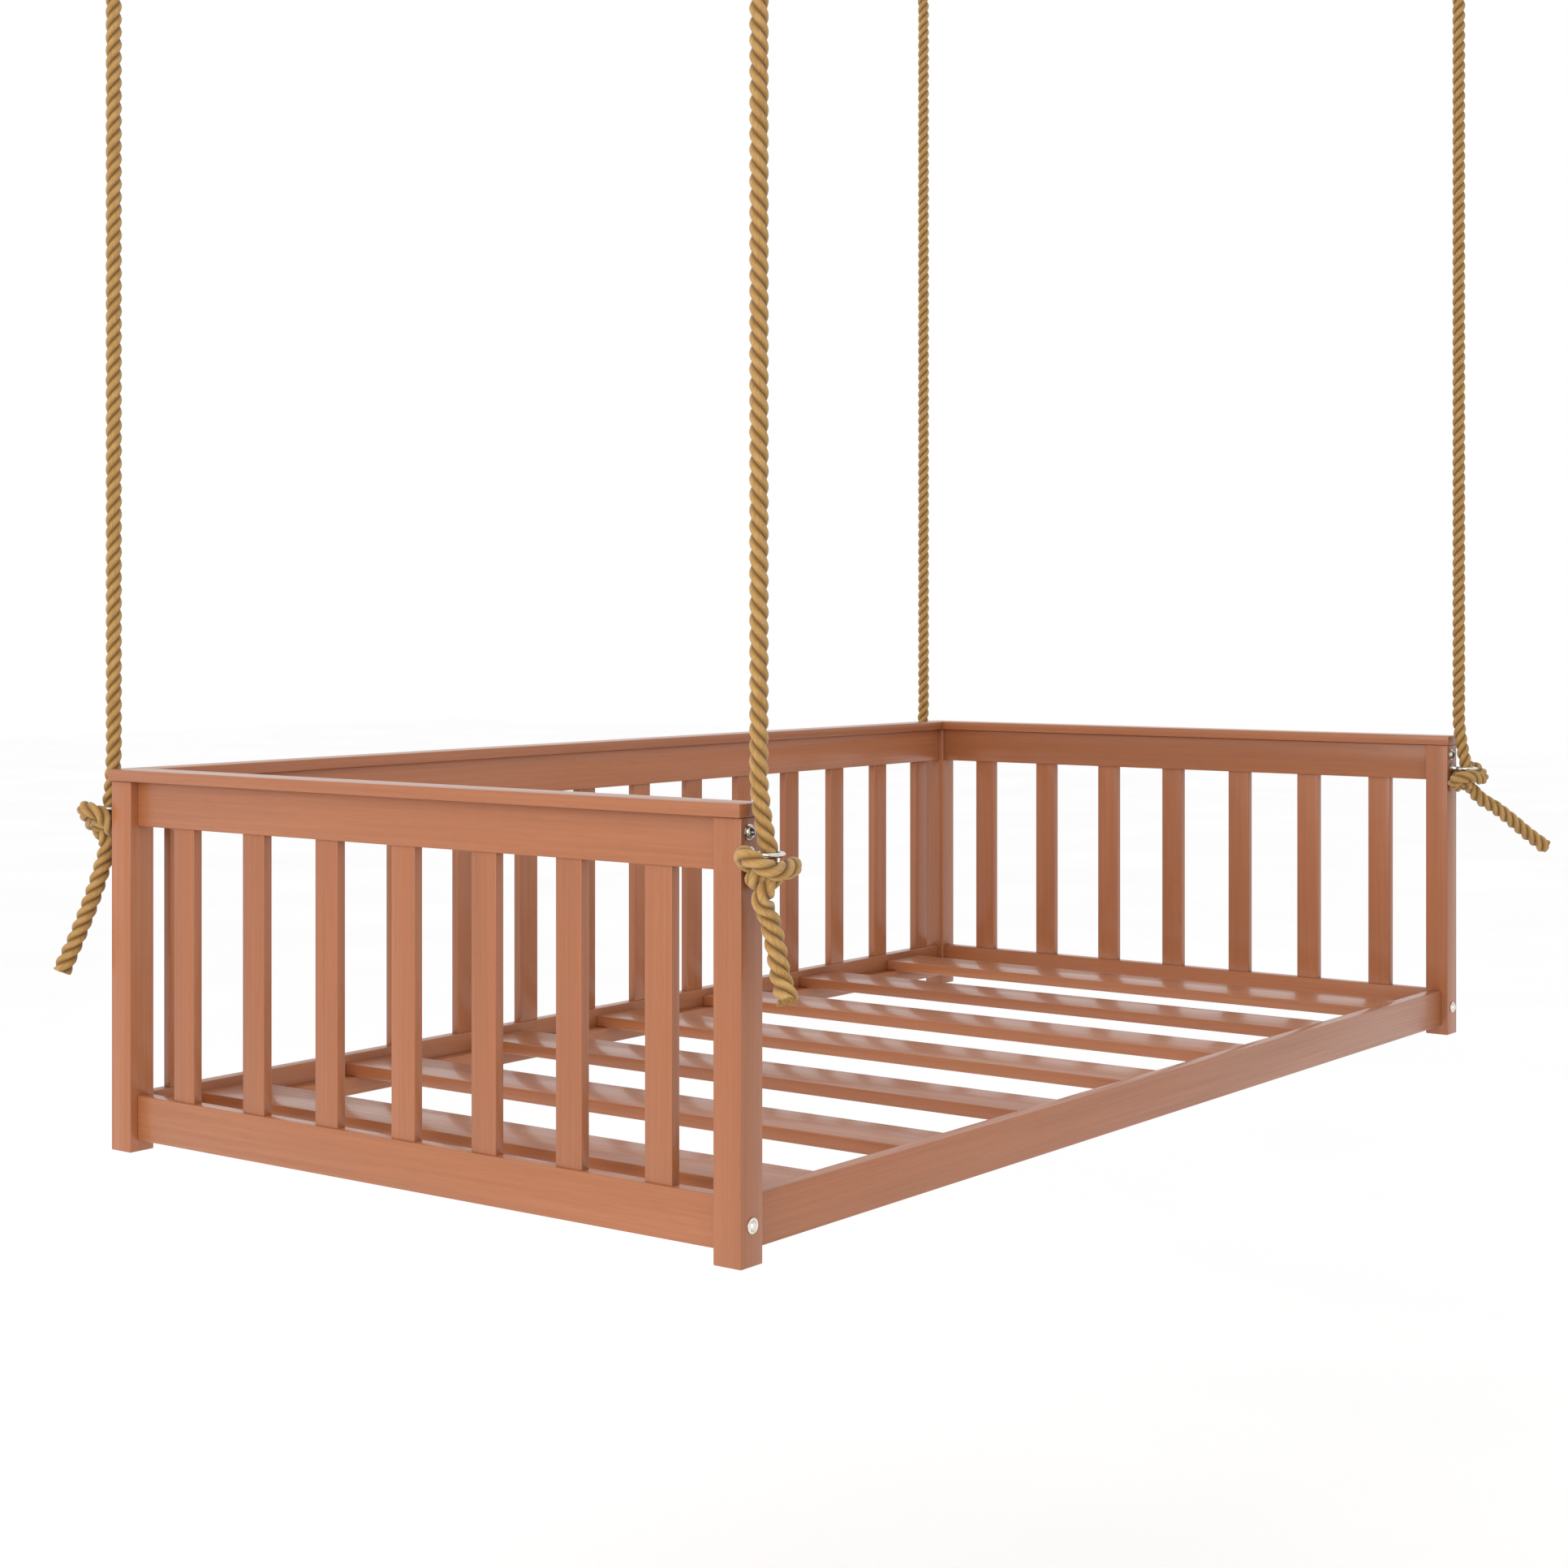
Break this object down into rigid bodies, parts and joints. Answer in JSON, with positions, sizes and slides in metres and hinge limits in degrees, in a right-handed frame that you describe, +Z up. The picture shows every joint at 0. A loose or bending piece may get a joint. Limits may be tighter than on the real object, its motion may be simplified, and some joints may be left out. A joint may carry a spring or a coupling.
{
  "type": "hanging daybed",
  "caption": "Slatted wooden porch daybed with an open front, hung from ceiling pad eyes on twisted ropes knotted below rings on its corner posts.",
  "frame": {"origin": "middle of the ceiling plane that the four pad eyes' plates are screwed to, above the middle of the bed", "axes": "+Z up, +X along the bed's long side, -Y out of the bed's open front"},
  "size_m": [2.19, 1.3011, 2.25],
  "materials": {
    "stained_wood": "satin terracotta-brown stain with fine straight grain",
    "manila_rope": "golden tan three-strand twisted rope, matte",
    "zinc_steel": "bright zinc plate",
    "chrome_steel": "polished chrome bolt heads"
  },
  "bodies": {
    "ceiling": {"pad_eye_front_left": "zinc_steel", "pad_eye_front_right": "zinc_steel", "pad_eye_back_left": "zinc_steel", "pad_eye_back_right": "zinc_steel"},
    "link_front_left": {"quick_link_front_left": "zinc_steel"},
    "rope_front_left": {"rope_front_left": "manila_rope"},
    "neck_front_left": {"rope_neck_front_left": "manila_rope"},
    "link_front_right": {"quick_link_front_right": "zinc_steel"},
    "rope_front_right": {"rope_front_right": "manila_rope"},
    "neck_front_right": {"rope_neck_front_right": "manila_rope"},
    "link_back_left": {"quick_link_back_left": "zinc_steel"},
    "rope_back_left": {"rope_back_left": "manila_rope"},
    "neck_back_left": {"rope_neck_back_left": "manila_rope"},
    "link_back_right": {"quick_link_back_right": "zinc_steel"},
    "rope_back_right": {"rope_back_right": "manila_rope"},
    "neck_back_right": {"rope_neck_back_right": "manila_rope"},
    "bed": {"post_front_left": "stained_wood", "post_front_right": "stained_wood", "post_back_left": "stained_wood", "post_back_right": "stained_wood", "cap_left": "stained_wood", "cap_right": "stained_wood", "cap_back": "stained_wood", "end_panel_left": "stained_wood", "end_panel_right": "stained_wood", "back_panel": "stained_wood", "front_rail": "stained_wood", "floor_slat_1": "stained_wood", "floor_slat_2": "stained_wood", "floor_slat_3": "stained_wood", "floor_slat_4": "stained_wood", "floor_slat_5": "stained_wood", "floor_slat_6": "stained_wood", "floor_slat_7": "stained_wood", "cleat_front": "stained_wood", "cleat_back": "stained_wood", "eye_bolt_front_left": "zinc_steel", "eye_bolt_front_right": "zinc_steel", "eye_bolt_back_left": "zinc_steel", "eye_bolt_back_right": "zinc_steel", "bolt_upper_front_left": "chrome_steel", "bolt_upper_front_right": "chrome_steel", "bolt_upper_back_left": "chrome_steel", "bolt_upper_back_right": "chrome_steel", "bolt_lower_front_left": "zinc_steel", "bolt_lower_front_right": "zinc_steel", "bolt_lower_back_left": "zinc_steel", "bolt_lower_back_right": "zinc_steel", "rope_knot_front_left": "manila_rope", "rope_knot_front_right": "manila_rope", "rope_knot_back_left": "manila_rope", "rope_knot_back_right": "manila_rope", "rope_tail_front_left": "manila_rope", "rope_tail_front_right": "manila_rope", "rope_tail_back_left": "manila_rope", "rope_tail_back_right": "manila_rope"}
  },
  "joints": [
    {"name": "end_swing_front_left", "type": "hinge", "parent": "ceiling", "child": "link_front_left", "pos_m": [-1.0095, -0.5581, -0.036], "axis": [0, 1, 0], "range_deg": [-10, 10]},
    {"name": "front_swing_front_left", "type": "hinge", "parent": "link_front_left", "child": "rope_front_left", "pos_m": [-1.0095, -0.5581, -0.1017], "axis": [1, 0, 0], "range_deg": [-15, 15]},
    {"name": "neck_bend_front_left", "type": "hinge", "parent": "rope_front_left", "child": "neck_front_left", "pos_m": [-1.0095, -0.5581, -1.702], "axis": [1, 0, 0], "range_deg": [-15, 15]},
    {"name": "end_swing_front_right", "type": "hinge", "parent": "ceiling", "child": "link_front_right", "pos_m": [1.0015, -0.5581, -0.036], "axis": [0, 1, 0], "range_deg": [-10, 10]},
    {"name": "front_swing_front_right", "type": "hinge", "parent": "link_front_right", "child": "rope_front_right", "pos_m": [1.0015, -0.5581, -0.1017], "axis": [1, 0, 0], "range_deg": [-15, 15]},
    {"name": "neck_bend_front_right", "type": "hinge", "parent": "rope_front_right", "child": "neck_front_right", "pos_m": [1.0015, -0.5581, -1.702], "axis": [1, 0, 0], "range_deg": [-15, 15]},
    {"name": "end_swing_back_left", "type": "hinge", "parent": "ceiling", "child": "link_back_left", "pos_m": [-1.0045, 0.5645, -0.036], "axis": [0, 1, 0], "range_deg": [-10, 10]},
    {"name": "front_swing_back_left", "type": "hinge", "parent": "link_back_left", "child": "rope_back_left", "pos_m": [-1.0045, 0.5645, -0.1017], "axis": [1, 0, 0], "range_deg": [-15, 15]},
    {"name": "neck_bend_back_left", "type": "hinge", "parent": "rope_back_left", "child": "neck_back_left", "pos_m": [-1.0045, 0.5645, -1.702], "axis": [1, 0, 0], "range_deg": [-15, 15]},
    {"name": "end_swing_back_right", "type": "hinge", "parent": "ceiling", "child": "link_back_right", "pos_m": [1.0065, 0.5645, -0.036], "axis": [0, 1, 0], "range_deg": [-10, 10]},
    {"name": "front_swing_back_right", "type": "hinge", "parent": "link_back_right", "child": "rope_back_right", "pos_m": [1.0065, 0.5645, -0.1017], "axis": [1, 0, 0], "range_deg": [-15, 15]},
    {"name": "neck_bend_back_right", "type": "hinge", "parent": "rope_back_right", "child": "neck_back_right", "pos_m": [1.0065, 0.5645, -1.702], "axis": [1, 0, 0], "range_deg": [-15, 15]},
    {"name": "bed_level", "type": "hinge", "parent": "neck_front_left", "child": "bed", "pos_m": [-1.0095, -0.5726, -1.7855], "axis": [0, 1, 0], "range_deg": [-10, 10]}
  ],
  "couplings": [
    {"joint": "neck_bend_front_left", "follows": "front_swing_front_left", "ratio": -1},
    {"joint": "end_swing_front_right", "follows": "end_swing_front_left", "ratio": 1},
    {"joint": "front_swing_front_right", "follows": "front_swing_front_left", "ratio": 1},
    {"joint": "neck_bend_front_right", "follows": "front_swing_front_left", "ratio": -1},
    {"joint": "end_swing_back_left", "follows": "end_swing_front_left", "ratio": 1},
    {"joint": "front_swing_back_left", "follows": "front_swing_front_left", "ratio": 1},
    {"joint": "neck_bend_back_left", "follows": "front_swing_front_left", "ratio": -1},
    {"joint": "end_swing_back_right", "follows": "end_swing_front_left", "ratio": 1},
    {"joint": "front_swing_back_right", "follows": "front_swing_front_left", "ratio": 1},
    {"joint": "neck_bend_back_right", "follows": "front_swing_front_left", "ratio": -1},
    {"joint": "bed_level", "follows": "end_swing_front_left", "ratio": -1}
  ]
}
